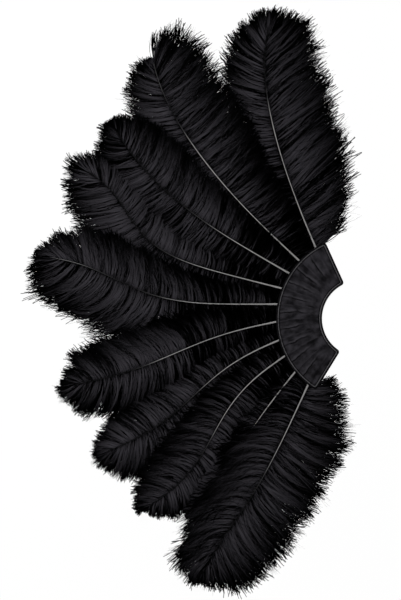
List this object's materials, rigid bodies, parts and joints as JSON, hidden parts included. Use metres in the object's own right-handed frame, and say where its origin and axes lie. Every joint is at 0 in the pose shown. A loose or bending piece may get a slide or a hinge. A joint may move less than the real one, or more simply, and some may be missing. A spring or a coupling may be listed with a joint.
{
  "type": "feather fan",
  "caption": "Hand fan of black ostrich plumes whose quills are held side by side in pockets of a crescent of black cloth, edged with a thin cord.",
  "frame": {"origin": "underside of the crescent, at the middle of its width, on the fan's middle line", "axes": "+Z out of the fan's front, +Y from the crescent towards the plumes, +X along the spread"},
  "size_m": [0.8128, 0.4652, 0.0173],
  "materials": {
    "cloth": "matt black woven cloth with a short nap",
    "cord": "dark grey twisted thread",
    "quill": "grey keratin, smooth, darker towards the tip",
    "barbs": "black down in soft locks with a faint sheen"
  },
  "bodies": {
    "base": {"front_cover": "cloth", "back_cover": "cloth", "edge_cord": "cord"},
    "plume_01": {"quill_01": "quill", "vane_over_01": "barbs", "vane_under_01": "barbs"},
    "plume_02": {"quill_02": "quill", "vane_over_02": "barbs", "vane_under_02": "barbs"},
    "plume_03": {"quill_03": "quill", "vane_over_03": "barbs", "vane_under_03": "barbs"},
    "plume_04": {"quill_04": "quill", "vane_over_04": "barbs", "vane_under_04": "barbs"},
    "plume_05": {"quill_05": "quill", "vane_over_05": "barbs", "vane_under_05": "barbs"},
    "plume_06": {"quill_06": "quill", "vane_over_06": "barbs", "vane_under_06": "barbs"},
    "plume_07": {"quill_07": "quill", "vane_over_07": "barbs", "vane_under_07": "barbs"},
    "plume_08": {"quill_08": "quill", "vane_over_08": "barbs", "vane_under_08": "barbs"},
    "plume_09": {"quill_09": "quill", "vane_over_09": "barbs", "vane_under_09": "barbs"},
    "plume_10": {"quill_10": "quill", "vane_over_10": "barbs", "vane_under_10": "barbs"}
  },
  "joints": [
    {"name": "plume_05_fold", "type": "hinge", "parent": "base", "child": "plume_05", "pos_m": [0, -0.08425, 0], "axis": [0, 0, 1], "range_deg": [0, 2.8], "deforming": ["front_cover", "back_cover", "edge_cord", "vane_over_05", "vane_under_05"]},
    {"name": "plume_06_fold", "type": "hinge", "parent": "base", "child": "plume_06", "pos_m": [0, -0.08425, 0], "axis": [0, 0, -1], "range_deg": [0, 2.8], "deforming": ["vane_over_06", "vane_under_06"]},
    {"name": "plume_04_fold", "type": "hinge", "parent": "plume_05", "child": "plume_04", "pos_m": [0, -0.08425, 0], "axis": [0, 0, 1], "range_deg": [0, 5.6], "deforming": ["vane_over_04", "vane_under_04"]},
    {"name": "plume_03_fold", "type": "hinge", "parent": "plume_04", "child": "plume_03", "pos_m": [0, -0.08425, 0], "axis": [0, 0, 1], "range_deg": [0, 5.6], "deforming": ["vane_over_03", "vane_under_03"]},
    {"name": "plume_02_fold", "type": "hinge", "parent": "plume_03", "child": "plume_02", "pos_m": [0, -0.08425, 0], "axis": [0, 0, 1], "range_deg": [0, 5.6], "deforming": ["vane_over_02", "vane_under_02"]},
    {"name": "plume_01_fold", "type": "hinge", "parent": "plume_02", "child": "plume_01", "pos_m": [0, -0.08425, 0], "axis": [0, 0, 1], "range_deg": [0, 5.6], "deforming": ["vane_over_01", "vane_under_01"]},
    {"name": "plume_07_fold", "type": "hinge", "parent": "plume_06", "child": "plume_07", "pos_m": [0, -0.08425, 0], "axis": [0, 0, -1], "range_deg": [0, 5.6], "deforming": ["vane_over_07", "vane_under_07"]},
    {"name": "plume_08_fold", "type": "hinge", "parent": "plume_07", "child": "plume_08", "pos_m": [0, -0.08425, 0], "axis": [0, 0, -1], "range_deg": [0, 5.6], "deforming": ["vane_over_08", "vane_under_08"]},
    {"name": "plume_09_fold", "type": "hinge", "parent": "plume_08", "child": "plume_09", "pos_m": [0, -0.08425, 0], "axis": [0, 0, -1], "range_deg": [0, 5.6], "deforming": ["vane_over_09", "vane_under_09"]},
    {"name": "plume_10_fold", "type": "hinge", "parent": "plume_09", "child": "plume_10", "pos_m": [0, -0.08425, 0], "axis": [0, 0, -1], "range_deg": [0, 5.6], "deforming": ["vane_over_10", "vane_under_10"]}
  ],
  "couplings": [
    {"joint": "plume_01_fold", "follows": "plume_05_fold", "ratio": 2},
    {"joint": "plume_02_fold", "follows": "plume_05_fold", "ratio": 2},
    {"joint": "plume_03_fold", "follows": "plume_05_fold", "ratio": 2},
    {"joint": "plume_04_fold", "follows": "plume_05_fold", "ratio": 2},
    {"joint": "plume_06_fold", "follows": "plume_05_fold", "ratio": 1},
    {"joint": "plume_07_fold", "follows": "plume_05_fold", "ratio": 2},
    {"joint": "plume_08_fold", "follows": "plume_05_fold", "ratio": 2},
    {"joint": "plume_09_fold", "follows": "plume_05_fold", "ratio": 2},
    {"joint": "plume_10_fold", "follows": "plume_05_fold", "ratio": 2}
  ]
}
